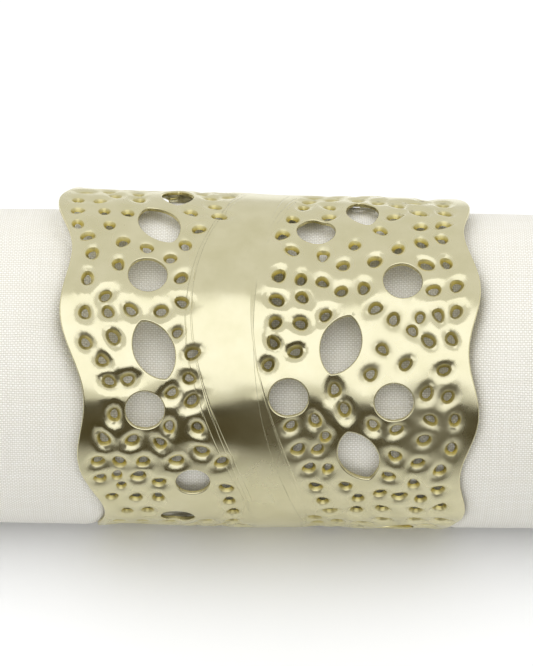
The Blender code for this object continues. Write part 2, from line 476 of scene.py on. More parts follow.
# %% [markdown]
# ## The punched holes
#
# Between the openings the maker punches hundreds of small holes by hand, in short strings that
# follow one another like beads. Each string is a row of the table below: where it starts, where it
# ends and how many holes it has. A seeded random number then nudges, turns and sizes each hole,
# because no two strokes of a punch are alike. The back of the ring, where the strings can't be told
# apart, is filled by trying evenly spaced places and keeping those that have enough metal round
# them.

# %% Strings of holes on the front
# start along, start angle, end along, end angle, holes; a hole on its own has only its place
STRINGS = (
    (-24.3, 102, -24.0, 85, 3),
    (-21.6, 102, -20.0, 85, 3),
    (-16.4, 104, -17.8, 93, 2),
    (-6.4, 99, -5.8, 92, 2),
    (-9.5, 94, -8.2, 84, 2),
    (-22.6, 79, -22.0, 71, 2),
    (-18.0, 77, -18.4, 67, 2),
    (-15.0, 74, -10.0, 76, 2),
    (-11.8, 70, -10.3, 62, 2),
    (-22.3, 61, -20.0, 55, 2),
    (-22.5, 49, -16.7, 50, 3),
    (-12.8, 50, -10.3, 53, 2),
    (-10.7, 43, -8.8, 36, 2),
    (-22.5, 39, -18.9, 41, 2),
    (-20.4, 33),
    (-9.2, 28, -8.8, 20, 2),
    (-11.4, 23),
    (-19.4, 26, -16.9, 27, 2),
    (-18.8, 15),
    (-8.1, 11, -11.8, 11, 2),
    (-20.1, 6, -12.8, 5, 3),
    (-7.6, 2, -5.0, -3, 2),
    (-10.7, -2),
    (-20.9, -3, -15.2, -3, 3),
    (-18.4, -9, -15.8, -9, 2),
    (-20.7, -11, -17.9, -14, 2),
    (-13.1, -12),
    (-4.4, -15, -3.6, -31, 3),
    (-19.2, -21, -13.2, -21, 3),
    (-17.4, -31, -14.6, -30, 2),
    (23.9, 99, 23.1, 82, 3),
    (20.5, 98, 20.5, 80, 3),
    (17.6, 105, 17.2, 95, 2),
    (15.3, 86, 17.6, 77, 2),
    (8.8, 102, 8.6, 94, 2),
    (5.3, 101, 2.5, 82, 3),
    (12.0, 78),
    (3.7, 75, 7.7, 73, 2),
    (10.4, 69, 14.5, 71, 2),
    (21.0, 70, 23.6, 71, 2),
    (2.2, 64, 7.6, 62, 3),
    (10.2, 59, 12.9, 60, 2),
    (14.6, 53, 21.4, 42, 4),
    (24.3, 43),
    (21.9, 60, 24.9, 62, 2),
    (20.3, 50, 24.9, 52, 3),
    (1.9, 55, 5.1, 56, 2),
    (8.0, 50),
    (1.6, 47, 5.0, 47, 2),
    (1.5, 40, 4.4, 37, 2),
    (0.9, 33),
    (15.3, 39, 18.4, 34, 2),
    (23.3, 32),
    (21.2, 24, 23.9, 23, 2),
    (13.9, 30),
    (9.4, 25, 10.6, 18, 2),
    (14.3, 13),
    (21.7, 15, 24.9, 15, 2),
    (6.9, 14, 3.8, 12, 2),
    (8.2, 8),
    (17.3, 11, 24.4, 4, 3),
    (4.9, 3, 7.4, 3, 2),
    (17.4, 1, 23.2, -5, 3),
    (6.2, -5, 8.6, -5, 2),
    (16.7, -8, 23.0, -15, 3),
    (7.3, -14, 11.0, -13, 2),
    (15.6, -17, 20.9, -20, 3),
    (8.2, -22, 12.7, -20, 2),
    (9.3, -29, 15.9, -27, 3),
    (20.3, -28, 23.5, -25, 2),
)
FRONT = (-33.0, 105.0)  # the strings cover these angles
HOLE_LENGTH = 1.26
HOLE_WIDTH = 0.96
NUDGE = 0.12

rng = random.Random(7)


def punched_hole(x, angle):
    size = rng.uniform(0.88, 1.08)
    return {
        "x": x + rng.uniform(-NUDGE, NUDGE),
        "round": on_strip(angle) * DEGREE + rng.uniform(-NUDGE, NUDGE),
        "length": HOLE_LENGTH * size * rng.uniform(0.95, 1.2), "width": HOLE_WIDTH * size,
        "lean": rng.uniform(-75, 75), "small": True, "point": 0.0,
        "blunt": rng.uniform(0.02, 0.06), "phase": rng.uniform(0, 2 * math.pi),
    }


holes = []
for x0, a0, *rest in STRINGS:
    x1, a1, count = rest or (x0, a0, 1)
    for i in range(count):
        share = i / max(1, count - 1)
        holes.append(punched_hole(x0 + (x1 - x0) * share, a0 + (a1 - a0) * share))
print(len(holes), "holes in strings on the front")

# %% Holes on the rest of the ring
HOLE_GAP = 2.75  # least distance between two holes' middles
ROW_STEP = 1.45
EDGE_MARGIN = 2.1
OPENING_MARGIN = 1.75  # from an opening's rim to a hole's middle
BAND_MARGIN = 1.3
HOLES_SPAN = (-27.0, 29.0)

opening_rims = np.concatenate([cut_outline(cut) for cut in cuts])


def has_room(x, angle, around):
    """True where a small hole keeps its distance from edges, band, openings and other holes."""
    if not left_edge(angle) + EDGE_MARGIN < x < right_edge(angle) - EDGE_MARGIN:
        return False
    if abs(x - band_centre(angle)) < band_half_width(angle) + BAND_MARGIN:
        return False
    here = np.array((x, around))
    if np.min(np.linalg.norm(opening_rims - here, axis=1)) < OPENING_MARGIN:
        return False
    if any(math.hypot(cut["x"] - x, cut["round"] - around) < 0.5 * cut["width"] for cut in cuts):
        return False
    return all(math.hypot(hole["x"] - x, hole["round"] - around) >= HOLE_GAP for hole in holes)


around = SEAM * DEGREE + EDGE_MARGIN
while around < STRIP_END * DEGREE - EDGE_MARGIN:
    angle = around / DEGREE
    x = HOLES_SPAN[0] + rng.uniform(0, 1.5)
    while x < HOLES_SPAN[1]:
        if not FRONT[0] < angle < FRONT[1] and has_room(x, angle, around):
            holes.append(punched_hole(x, angle))
            x += HOLE_GAP
        x += rng.uniform(0.3, 0.9)
    around += ROW_STEP * rng.uniform(0.85, 1.15)
cuts += holes
print(len(holes), "small holes in all")

# %% How far each hole widens between its far side and its mouth
FUNNEL = (0.24, 0.42)
WEB = 0.16  # least metal left between two mouths
RIM = 0.20  # radius of the rounded edge of a large opening

for hole in holes:
    own = 0.5 * hole["length"]
    here = np.array((hole["x"], hole["round"]))
    rooms = [FUNNEL[1], np.min(np.linalg.norm(opening_rims - here, axis=1)) - own - WEB - RIM]
    for other in holes:
        gap = math.hypot(hole["x"] - other["x"], hole["round"] - other["round"])
        if 0 < gap:
            rooms.append(0.5 * (gap - own - 0.5 * other["length"] - WEB))
    hole["funnel"] = max(FUNNEL[0], min(rooms))
print("funnels from", round(min(h["funnel"] for h in holes), 2), "to",
      round(max(h["funnel"] for h in holes), 2), "mm")

# %% [markdown]
# ## Dents round the punched holes
#
# The punch dents the sheet before it breaks through, so each small hole sits in a soft hollow with
# a rolled lip. Those hollows give the metal its liquid look, and a bump map can't do it: the
# hollows have to bend the bright and dark bands that the ring mirrors. So the depth of the sheet is
# a height field in plain numbers, and the mesh is pushed in by it. The same numbers give each point
# its exact normal, which keeps the reflections smooth however the triangles fall.

# %% How deep the sheet is pushed in, at places on the flat sheet
MOUTH_SLOPE = math.radians(33)  # slope of the metal at the mouth
BEND_RADIUS = 2.10  # of the metal that curves down into the mouth
BEND_REACH = BEND_RADIUS * math.sin(MOUTH_SLOPE)
INSIDE_MOUTH = 0.05  # the slope carries on this far inwards, so that it is right at the mouth
SKIRT_DEPTH = 0.08  # of the shallow dent beyond the curve
SKIRT_REACH = 1.5
FARTHEST = 4.0  # beyond this a hollow makes no difference
DEEPEST = 0.66


def hollow_depth(x, around):
    """Depth from the punched hollows, for arrays of places."""
    left = np.ones_like(x)
    for hole in holes:
        dx = x - hole["x"]
        ds = around - hole["round"]
        near = (np.abs(dx) < FARTHEST) & (np.abs(ds) < FARTHEST)
        across, along = in_cut_axes(hole, dx[near], ds[near])
        half_width, half_length = 0.5 * hole["width"], 0.5 * hole["length"]
        across, along = across / half_width, along / half_length
        blunt = 1 + hole["blunt"] * np.cos(3 * np.arctan2(across, along) + hole["phase"])
        out = (np.hypot(across, along) / blunt - 1) * 0.5 * (half_width + half_length)
        out = np.maximum(-INSIDE_MOUTH, out - hole["funnel"])
        curve = BEND_RADIUS - np.sqrt(BEND_RADIUS ** 2 - np.maximum(0.0, BEND_REACH - out) ** 2)
        fall = curve + SKIRT_DEPTH * np.exp(-((out / SKIRT_REACH) ** 2))
        left[near] *= 1 - np.minimum(1.0, fall / DEEPEST)
    return DEEPEST * (1 - left)


# %% How far the strip is out of true
# Hand work leaves it up to 0.3 mm out: short waves, a long sway and a few knocks.
WAVE_HEIGHT = 0.100
SWAY_HEIGHT = 0.200
SEAM_LEVEL = 2.0  # over the last millimetres the two ends come to the same height
SOLDER_DIP = 0.07
SOLDER_REACH = 0.3

# place along, angle, reach and depth of each knock
KNOCKS = (
    (2.2, -13, 0.9, 0.035),
    (-1.8, 9, 1.3, 0.040),
    (0.9, 21, 1.6, -0.030),
    (-4.4, 27, 1.5, 0.030),
    (-3.0, 46, 2.0, -0.035),
    (-6.6, 55, 1.4, 0.030),
    (-2.4, 68, 2.2, 0.030),
    (-4.9, 81, 1.8, -0.025),
)


def sheet_depth(x, around):
    """Depth of the outer face below the plain cone, for arrays of places."""
    depth = hollow_depth(x, around)
    waviness = np.sin(x / 2.9 + 0.7 * np.sin(around / 5.3)) * np.sin(around / 3.7 + 0.4)
    sway = np.sin(x / 6.1 + 1.3) * np.sin(around / 8.7 + 2.0 + x / 11.0)
    seam = np.minimum(np.abs(around - SEAM * DEGREE), np.abs(around - STRIP_END * DEGREE))
    out_of_true = WAVE_HEIGHT * waviness + SWAY_HEIGHT * sway
    for place, angle, reach, knock in KNOCKS:
        distance = np.hypot(x - place, around - on_strip(angle) * DEGREE)
        out_of_true += knock * np.exp(-((distance / reach) ** 2))
    depth += out_of_true * (1 - depth / DEEPEST)
    depth *= np.minimum(1.0, seam / SEAM_LEVEL)
    return depth + SOLDER_DIP * np.exp(-((seam / SOLDER_REACH) ** 2))


# %% [markdown]
# ## From flat sheet to ring
#
# The flat sheet is filled with triangles by a constrained Delaunay triangulation: it keeps every
# outline that it is given and joins the other points evenly. Rings of extra points round each hole
# put small triangles where the metal bends. Then each point is bent round the cone, once for the
# outer face and once for the inner, and the cut walls between them get a small rounded edge.

# %% Places for the triangulation
EDGE_STEP = 1.0
FILL_STEP = 0.95
ROW_SHARE = 0.866  # from row to row, so that the triangles have equal sides
STRIP_SPAN = (-29.0, 30.0)  # past both wavy edges
END_POINTS = 52
RING_OFFSETS = (0.18, 0.42, 0.72, 1.08)  # extra points round a small hole
OPENING_OFFSETS = (0.5,)
EDGE_CLEAR = 0.15
END_CLEAR = 0.2
RING_CLEAR, OPENING_CLEAR, FILL_CLEAR = 0.20, 0.3, 0.6  # least distances between points

flat = []  # points on the flat sheet
squares = {}  # the same points, by the square of 1 mm that each lies in


def add_point(point):
    """Adds a point and returns its number."""
    x, around = float(point[0]), float(point[1])
    squares.setdefault((int(x // 1), int(around // 1)), []).append((x, around))
    flat.append((x, around))
    return len(flat) - 1


def crowded(x, around, distance):
    """True where another point lies nearer than this."""
    return any(
        math.hypot(other[0] - x, other[1] - around) < distance
        for i in (-1, 0, 1) for j in (-1, 0, 1)
        for other in squares.get((int(x // 1) + i, int(around // 1) + j), ())
    )


def edge_radius(cut):
    return cut["funnel"] if cut["small"] else RIM


constraints = []
loops = []  # closed outlines, as lists of point numbers
for cut in cuts:
    loop = [add_point(point) for point in cut_outline(cut, edge_radius(cut))]
    loops.append(loop)
    constraints += list(zip(loop, loop[1:] + loop[:1]))
print(len(flat), "points on the rims of", len(cuts), "cuts")

# %% The sheet's two wavy edges and its two ends
edge_angles = np.linspace(SEAM, STRIP_END, int(360 * DEGREE / EDGE_STEP) + 1)
left_line = [add_point((left_edge(a) + RIM, a * DEGREE)) for a in edge_angles]
right_line = [add_point((right_edge(a) - RIM, a * DEGREE)) for a in edge_angles]
end_lines = []
for a in (SEAM, STRIP_END):
    x0, x1 = left_edge(a) + RIM, right_edge(a) - RIM
    inner = [add_point((x, a * DEGREE)) for x in np.linspace(x0, x1, END_POINTS)[1:-1]]
    pick = 0 if a == SEAM else -1
    end_lines.append([left_line[pick]] + inner + [right_line[pick]])
for line in (left_line, right_line, *end_lines):
    constraints += list(zip(line, line[1:]))


# %% Rings of points round the cuts, and an even filling
def in_a_cut(point):
    for cut in cuts:
        across, along = in_cut_axes(cut, point[0] - cut["x"], point[1] - cut["round"])
        across /= 0.5 * cut["width"] + edge_radius(cut)
        along /= 0.5 * cut["length"] + edge_radius(cut)
        if abs(along) < 1 and abs(across) < math.sin(math.acos(along)) ** (1 + cut["point"]):
            return True
    return False


def offer(point, distance):
    """Adds a point if it is inside the sheet and clear of the others."""
    x, around = point
    low, high = left_edge(around / DEGREE) + RIM, right_edge(around / DEGREE) - RIM
    inside = low + EDGE_CLEAR < x < high - EDGE_CLEAR
    if inside and SEAM * DEGREE + END_CLEAR < around < STRIP_END * DEGREE - END_CLEAR:
        if not crowded(x, around, distance) and not in_a_cut(point):
            add_point(point)


for cut in cuts:
    for offset in RING_OFFSETS if cut["small"] else OPENING_OFFSETS:
        for point in cut_outline(cut, edge_radius(cut) + offset):
            offer(point, RING_CLEAR if cut["small"] else OPENING_CLEAR)
for i, s in enumerate(np.arange(SEAM * DEGREE, STRIP_END * DEGREE, FILL_STEP * ROW_SHARE)):
    for x in np.arange(STRIP_SPAN[0] + 0.5 * FILL_STEP * (i % 2), STRIP_SPAN[1], FILL_STEP):
        offer((x, s), FILL_CLEAR)
print(len(flat), "points on the flat sheet")

# %% The triangles between them
verts_2d, _, faces_2d, origin, _, _ = delaunay_2d_cdt(
    [Vector(point) for point in flat], constraints, [], 0, 1e-5, True,
)
number = {}
for new, old in enumerate(origin):
    for i in old:
        number[i] = new
places = np.array([tuple(v) for v in verts_2d])
loops = [[number[i] for i in loop] for loop in loops]
left_line = [number[i] for i in left_line]
right_line = [number[i] for i in right_line]

owner = np.full(len(places), -1)
for index, loop in enumerate(loops):
    owner[loop] = index
triangles = []
for a, b, c in faces_2d:
    if owner[a] >= 0 and owner[a] == owner[b] == owner[c]:
        continue
    x, s = (places[a] + places[b] + places[c]) / 3
    ends = [np.interp(s, places[line, 1], places[line, 0]) for line in (left_line, right_line)]
    if ends[0] < x < ends[1]:
        triangles.append((a, b, c))
print(len(triangles), "triangles on each face")

# %% Bending the sheet round
def unit(rows):
    return rows / np.linalg.norm(rows, axis=1)[:, None]


def bend(points, depth):
    """Places on the flat sheet and depths below the cone, in millimetres, to points in space."""
    a = np.radians(points[:, 1] / DEGREE)
    inner = ring_radius(points[:, 0]) - depth
    height = ring_centre_height(points[:, 0]) + inner * np.sin(a)
    return np.stack([points[:, 0], -inner * np.cos(a), height], axis=1) * MM


def space_directions(points, along, around, outward):
    """Directions on the flat sheet to directions in space, of unit length."""
    a = np.radians(points[:, 1] / DEGREE)
    y = around * np.sin(a) - outward * np.cos(a)
    z = around * np.cos(a) + outward * np.sin(a)
    return unit(np.stack([along, y, z], axis=1))


STEP = 0.02
depth = sheet_depth(places[:, 0], places[:, 1])
slope_x = (sheet_depth(places[:, 0] + STEP, places[:, 1]) - depth) / STEP
slope_x -= (RADIUS_RIGHT - RADIUS_LEFT) / TAPER_SPAN
slope_s = (sheet_depth(places[:, 0], places[:, 1] + STEP) - depth) / STEP
face_normal = space_directions(places, slope_x, slope_s, np.ones(len(places)))
outer_face = bend(places, depth)
inner_face = bend(places, depth + SHEET)
print("deepest point of the sheet", round(float(depth.max()), 2), "mm")

# %% The walls of the cuts and of the two edges
LIP_RADIUS = 0.30  # of the metal between a hole's mouth and its wall
WALL_SLOPE = math.radians(60)


def right_of(line, closed):
    """Unit vectors on the flat sheet, to the right of the way along a line of points."""
    points = places[line]
    if closed:
        way = np.roll(points, -1, axis=0) - np.roll(points, 1, axis=0)
    else:
        way = np.gradient(points, axis=0)
        way[0] = way[-1] = 0.5 * (way[0] + way[-1])
    return unit(np.stack([way[:, 1], -way[:, 0]], axis=1))


# points, whether they close, whether it is punched, the way off the sheet, radius of the edge
walls = []
for cut, loop in zip(cuts, loops):
    off = right_of(loop, True)
    inwards = np.array([cut["x"], cut["round"]]) - places[loop]
    if np.mean(np.sum(off * inwards, axis=1)) < 0:
        off = -off
    walls.append((loop, True, cut["small"], off, edge_radius(cut)))
walls.append((left_line, False, False, -right_of(left_line, False), RIM))
walls.append((right_line, False, False, right_of(right_line, False), RIM))

# %% All the ring's points and faces
FAR_EDGE = 0.04  # height of the small chamfer where a wall meets the inner face
RAW_LIP = 0.3  # how raw the metal looks at the lip of a punched wall
RAW_DEEPER = 1.5  # and how much more so for each millimetre down
RAW_OPENING = 0.8  # at the far edge of an opening's wall

inner_start = len(places)
total = 2 * inner_start
plain = np.zeros(inner_start)
# points, normals, places on the flat sheet, how raw, how dented
parts = [(outer_face, face_normal, places, plain, depth),
         (inner_face, -face_normal, places, plain, depth)]
faces = triangles + [tuple(inner_start + i for i in reversed(t)) for t in triangles]
for line, closed, punch, off, radius in walls:
    count = len(line)
    points = places[line]
    here = depth[line]
    # A rounded lip from the face into the wall, then the far edge of the wall.
    start = MOUTH_SLOPE if punch else 0.0
    bend_radius = LIP_RADIUS if punch else radius
    slopes = (0.5 * (start + WALL_SLOPE), WALL_SLOPE) if punch else np.radians((30, 60, 90))
    section = [
        (bend_radius * (math.sin(t) - math.sin(start)),
         bend_radius * (math.cos(start) - math.cos(t)), t) for t in slopes
    ]
    section.append((radius, SHEET - FAR_EDGE, slopes[-1]))
    turn_over = off[0] @ right_of(line, closed)[0] > 0
    rings = [line]
    for reach, below, t in section:
        row = points + off * reach
        facing = space_directions(row, *(off.T * math.sin(t)), np.full(count, math.cos(t)))
        raw = min(1.0, RAW_LIP + RAW_DEEPER * below) if punch else RAW_OPENING * below / SHEET
        parts.append((bend(row, here + below), facing, row, np.full(count, raw), here))
        rings.append(list(range(total, total + count)))
        total += count
    rings.append([inner_start + i for i in line])
    for upper, lower in zip(rings, rings[1:]):
        for i in range(count if closed else count - 1):
            j = (i + 1) % count
            face = (upper[i], upper[j], lower[j], lower[i])
            faces.append(face[::-1] if turn_over else face)
vertices, normals, uv_places, punched, dented = map(np.concatenate, zip(*parts))
dented = np.clip(dented / DEEPEST, 0.0, 1.0)
print(len(vertices), "points and", len(faces), "faces before the ends are joined")

# %% The ring's ends are joined
JOIN_REACH = 0.01 * MM

near_seam = np.where(np.abs(uv_places[:, 1] - SEAM * DEGREE) < END_CLEAR)[0]
near_end = np.where(np.abs(uv_places[:, 1] - STRIP_END * DEGREE) < END_CLEAR)[0]
target = np.arange(len(vertices))
for i in near_end:
    gaps = np.linalg.norm(vertices[near_seam] - vertices[i], axis=1)
    if gaps.min() < JOIN_REACH:
        target[i] = near_seam[np.argmin(gaps)]
print(int(np.sum(target != np.arange(len(target)))), "points joined at the soldered seam")

mesh_faces = []
corners = []
for face in faces:
    joined = [int(target[i]) for i in face]
    if len(set(joined)) == len(joined):
        mesh_faces.append(joined)
        corners += face
used = sorted({i for face in mesh_faces for i in face})
renumber = {old: new for new, old in enumerate(used)}
mesh_faces = [[renumber[i] for i in face] for face in mesh_faces]
vertices, normals, punched, dented = vertices[used], normals[used], punched[used], dented[used]

# %% The ring's mesh, with the values that its material reads
NO_LINE = 9.0  # too far off for a scribed line to show

ring_mesh = bpy.data.meshes.new("pierced ring")
ring_mesh.from_pydata(vertices.tolist(), [], mesh_faces)
uv_layer = ring_mesh.uv_layers.new(name="sheet")
uv_layer.data.foreach_set("uv", uv_places[corners].ravel() * MM)
for name, values in (("punched", punched), ("dented", dented)):
    ring_mesh.attributes.new(name, "FLOAT", "POINT").data.foreach_set("value", values)
distances = scribed_distances(uv_places[used, 0], uv_places[used, 1] / DEGREE)
distances[punched > 0] = NO_LINE
scribed = ring_mesh.attributes.new("scribed", "FLOAT_VECTOR", "POINT")
scribed.data.foreach_set("vector", distances.ravel())
ring_mesh.shade_smooth()
ring_mesh.normals_split_custom_set_from_vertices(normals.tolist())
ring_mesh.materials.append(brass)
pierced_ring = new_object("pierced_ring", ring_mesh)


def tell(mesh, turn_outwards=False):
    """Prints what a mesh holds, and if asked turns its faces outwards."""
    whole = bmesh.new()
    whole.from_mesh(mesh)
    if turn_outwards:
        bmesh.ops.recalc_face_normals(whole, faces=whole.faces)
        whole.to_mesh(mesh)
    print(mesh.name, "has", len(whole.verts), "points,",
          sum(len(f.verts) - 2 for f in whole.faces), "triangles and",
          sum(not edge.is_manifold for edge in whole.edges), "open edges; its area is",
          round(sum(f.calc_area() for f in whole.faces), 3), "square m and its volume",
          round(whole.calc_volume() / MM ** 3), "cubic mm")
    whole.free()


tell(ring_mesh)
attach(pierced_ring, "root")
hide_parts("ring")

# %% [markdown]
# ## White linen
#
# The napkin is bleached linen in a plain weave, washed and pressed. Each thread passes over one
# crossing thread and under the next, so the face is a fine chequer of short raised floats with a
# dark pinhole between them. Flax is spun unevenly, and here and there a thick stretch of thread, a
# slub, runs along the weave. The threads are 0.29 mm apart, which is 34 to the centimetre. Linen
# scatters light softly, with a faint sheen from its loose fibres.

# %% Linen, plain woven
THREAD_SPACING = 0.29 * MM
THREAD_DRIFT = 5.0  # how far threads wander from straight lines, in radians of the weave's wave
CLOTH_RELIEF = 0.10 * MM


def make_linen():
    """Cloth coordinates come from the mesh: u runs across the cloth and v along it, in metres."""
    material, add = new_material("bleached linen, plain woven, pressed")
    cloth = add("UVMap", uv_map="cloth")
    parts = add("SeparateXYZ", vector=cloth)
    wander = add("TexNoise", vector=cloth, scale=180.0, detail=1.0)
    drift = add("Math", operation="MULTIPLY", in0=wander, in1=THREAD_DRIFT)

    # For the warp and then the weft: a wave whose top is 1 in a thread's middle and 0 between two
    # threads, and slubs, which are noise drawn out to some 12 mm along a thread.
    waves, tops, slubs = [], [], []
    for coordinate, stretch in zip(parts.outputs, ((2200, 80, 1), (80, 2200, 1))):
        place = add(
            "Math", operation="MULTIPLY_ADD", in0=coordinate, in1=math.pi / THREAD_SPACING,
            in2=drift,
        )
        wave = add("Math", operation="SINE", in0=place)
        top = add("Math", operation="ABSOLUTE", in0=wave)
        drawn = add("Mapping", vector=cloth, scale=stretch)
        slub = add("TexNoise", vector=drawn, scale=1.0, detail=1.0)
        waves.append(wave)
        tops.append(top)
        slubs.append(slub)

    both, sides = (
        add("Math", operation="MULTIPLY", in0=warp, in1=weft) for warp, weft in (tops, waves)
    )
    over = add("Math", operation="GREATER_THAN", in0=sides, in1=0.0)
    # The warp is held tighter than the weft, so its floats stand lower.
    low_warp = add("Math", operation="MULTIPLY", in0=tops[0], in1=0.3)
    thread = add("Mix", in0=over, in2=low_warp, in3=tops[1])
    slub = add("Mix", in0=over, in2=slubs[0], in3=slubs[1])
    crown = add("Math", operation="MULTIPLY", in0=both, in1=0.4)
    float_height = add("Math", operation="MULTIPLY_ADD", in0=thread, in1=0.6, in2=crown)
    height = add("Math", operation="MULTIPLY_ADD", in0=slub, in1=0.3, in2=float_height)

    # Painted shade: the colour darkens where the weave lies low, in the pinholes between threads and
    # on the lower warp floats.
    shade = add("ValToRGB", in0=float_height)
    tint = add("ValToRGB", in0=slub)
    stops = [*shade.color_ramp.elements, *tint.color_ramp.elements]
    tones = ((0.15, "#DCD9D0"), (0.60, "#FEFDF9"), (0.25, "#F8F7F3"), (0.75, "#FFFFFF"))
    for stop, (position, tone) in zip(stops, tones):
        stop.position, stop.color = position, linear(tone)
    colour = add("Mix", data_type="RGBA", blend_type="MULTIPLY", in0=1.0, in6=shade, in7=tint)
    relief = add("Bump", height=height, strength=0.55, distance=CLOTH_RELIEF)
    shader = add(
        "BsdfPrincipled", base_color=colour.outputs[2], roughness=0.88, sheen_weight=0.25,
        sheen_roughness=0.5, normal=relief,
    )
    add("OutputMaterial", surface=shader)
    return material


linen = make_linen()

# %% [markdown]
# ## The napkin, folded in three and rolled
#
# The napkin is a 510 mm square, hemmed all round. It is folded lengthwise like a letter, which
# makes a strip of three layers, and the strip is rolled up from one end. So one sheet carries the
# whole form: across the strip it runs there, back and there again, with a round fold at each turn,
# and along the strip it follows a spiral. A cloth simulation would wrinkle a roll that is pulled
# tight in real life, so the sheet is laid on the spiral by a formula. Inside the ring the roll is
# pressed in to the ring's size, or swells to fill it where it has room. In front it lies a little
# flat, so that the openings look down on shaded cloth. Underneath it is flattened by its own
# weight.

# %% Sizes of the roll
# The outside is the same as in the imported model, apart from how it lies inside the ring.
ROLL_LENGTH = 170.0
ROLL_RADIUS = 21.35
ROLL_CENTRE_HEIGHT = 20.85
TURN_PITCH = 3 * 0.82
LOOSE_EDGE_ANGLE = 205.0
EMERGE_ANGLE = 48.0
CLOTH_CLEARANCE = 0.85
FRONT_ROOM = 2.8  # more room in front, where the roll is a little flat inside the ring
FRONT_ROOM_ANGLE = math.radians(56)
FRONT_ROOM_REACH = math.radians(34)
NAPKIN_SIDE = 510.0
CLOTH = 0.5
LAYER_STEP = 0.75  # from one layer of the folded strip to the next

RING_LIFT = 0.25  # the ring holds the roll a little clear of the table near it
RING_SQUEEZE = 0.15
LIFTED_TO, LIFT_ENDS = 36.0, 70.0  # distances from the middle
SWELLING = 0.85  # share of the room in the ring that the roll swells to fill
UNEVEN = 0.12  # height of the waves in the rolled strip
SOFT_WAVE, FINE_WAVE = 0.10, 0.05  # height of the waves that pressing and handling leave
SOFT_REST = 0.02  # how gradually the cloth comes to rest on the table
HEM_STEP, END_STEP = 0.6, 0.8  # over these the hem ends and the raw end thickens
RAW_END = 0.35  # thickness of the raw end, as a share of the cloth's


def smooth(share):
    share = np.clip(share, 0.0, 1.0)
    return share * share * (3.0 - 2.0 * share)


def turns_in(turned):
    """How many turns deep the strip lies, for degrees wound back from its loose edge."""
    whole = np.floor(turned / 360.0)
    part = turned / 360.0 - whole
    late = smooth((part - 1.0 + EMERGE_ANGLE / 360.0) * 360.0 / EMERGE_ANGLE)
    evenness = np.minimum(1.0, whole / 2.0)
    return whole + late * (1.0 - evenness) + part * evenness


def roll_radius(turned):
    """Outer radius of the strip where nothing presses on it."""
    a = np.radians(LOOSE_EDGE_ANGLE - turned)
    radius = ROLL_RADIUS - TURN_PITCH * turns_in(turned)
    uneven = UNEVEN * (np.sin(2 * a + 0.6) + 0.5 * np.sin(5 * a))
    return radius + uneven * radius / ROLL_RADIUS


# %% A place on the rolled strip
def roll_point(turned, x, free, depth):
    """Points in space, for arrays of places on the rolled strip.

    They hold degrees wound back from the loose edge, places along the roll, how free the roll is of
    the ring, from 0 to 1, and depths below the strip's outer face.
    """
    a = np.radians(LOOSE_EDGE_ANGLE - turned)
    lifted = 1 - smooth((np.abs(x) - LIFTED_TO) / (LIFT_ENDS - LIFTED_TO))
    centre = ROLL_CENTRE_HEIGHT + RING_LIFT * lifted
    outermost = roll_radius(turned % 360.0) - RING_SQUEEZE * lifted
    rise = ring_centre_height(x) - centre
    reach = ring_radius(x) - SHEET - CLOTH_CLEARANCE
    wall = rise * np.sin(a) + np.sqrt(reach ** 2 - (rise * np.cos(a)) ** 2)
    from_front = (a - FRONT_ROOM_ANGLE + math.pi) % (2 * math.pi) - math.pi
    wall = wall - FRONT_ROOM * np.exp(-((from_front / FRONT_ROOM_REACH) ** 2))
    squeeze = outermost - wall
    held = 1 - free
    pressed = np.where(squeeze > 0, squeeze * held, SWELLING * squeeze * held ** 3)
    strip = roll_radius(turned) * (1 - RING_SQUEEZE * lifted / ROLL_RADIUS)
    soft = SOFT_WAVE * np.sin(x / 13.0 + 1.0 + a) * np.sin(2 * a + x / 21.0)
    soft += FINE_WAVE * np.sin(x / 5.3 + 3 * a) * np.sin(x / 17.0 + a)
    radius = strip - pressed * strip / outermost + soft * free * strip / ROLL_RADIUS - depth
    height = centre + radius * np.sin(a)
    resting = outermost - pressed - radius + SOFT_REST
    excess = height - resting
    height = resting + 0.5 * (excess + np.sqrt(excess ** 2 + SOFT_REST))
    return np.stack([x, -radius * np.cos(a), height], axis=-1) * MM


# %% How far the spiral has to turn to take up the whole strip
TURN_STEP = 5.0
MORE_THAN_ENOUGH = 2600  # degrees

turned = np.arange(0, MORE_THAN_ENOUGH, TURN_STEP)
length_so_far = np.concatenate([[0], np.cumsum(
    (roll_radius(turned[1:]) - 0.5 * TURN_PITCH) * math.radians(TURN_STEP)
)])
turned = turned[length_so_far < NAPKIN_SIDE]
length_so_far = length_so_far[:len(turned)]
print("the strip winds", round(turned[-1] / 360, 2), "turns, to a core of radius",
      round(float(roll_radius(turned[-1])) - TURN_PITCH, 1), "mm")

# %% Rows across the strip, in the order of the cloth
HALF = ROLL_LENGTH / 2
FOLD_RADIUS = 0.5 * LAYER_STEP
FOLD_CENTRE = HALF - FOLD_RADIUS - 0.5 * CLOTH
HEM = 10.0  # width of the turned-in and stitched edge
SWELL = ((-0.6, 0.0), (-0.2, 0.35), (0.2, 0.65), (0.7, 0.9), (1.6, 1.0))
FREE_STEPS = (7, 10, 13.5, 18, 24, 31)  # more rows outside the ring, as distances from its edge
PLAIN = (0.5 * CLOTH, 0.5 * CLOTH)
HEMMED = (0.5 * CLOTH + 0.06, 0.5 * CLOTH + 0.14)
EDGE = (0.16, 0.16)


def straight(x):
    """A place along the roll that is the same at every angle."""
    return lambda a: x + 0 * a


def beside(edge, distance):
    """A place along the roll that follows one of the ring's wavy edges."""
    return lambda a: edge(a) + distance


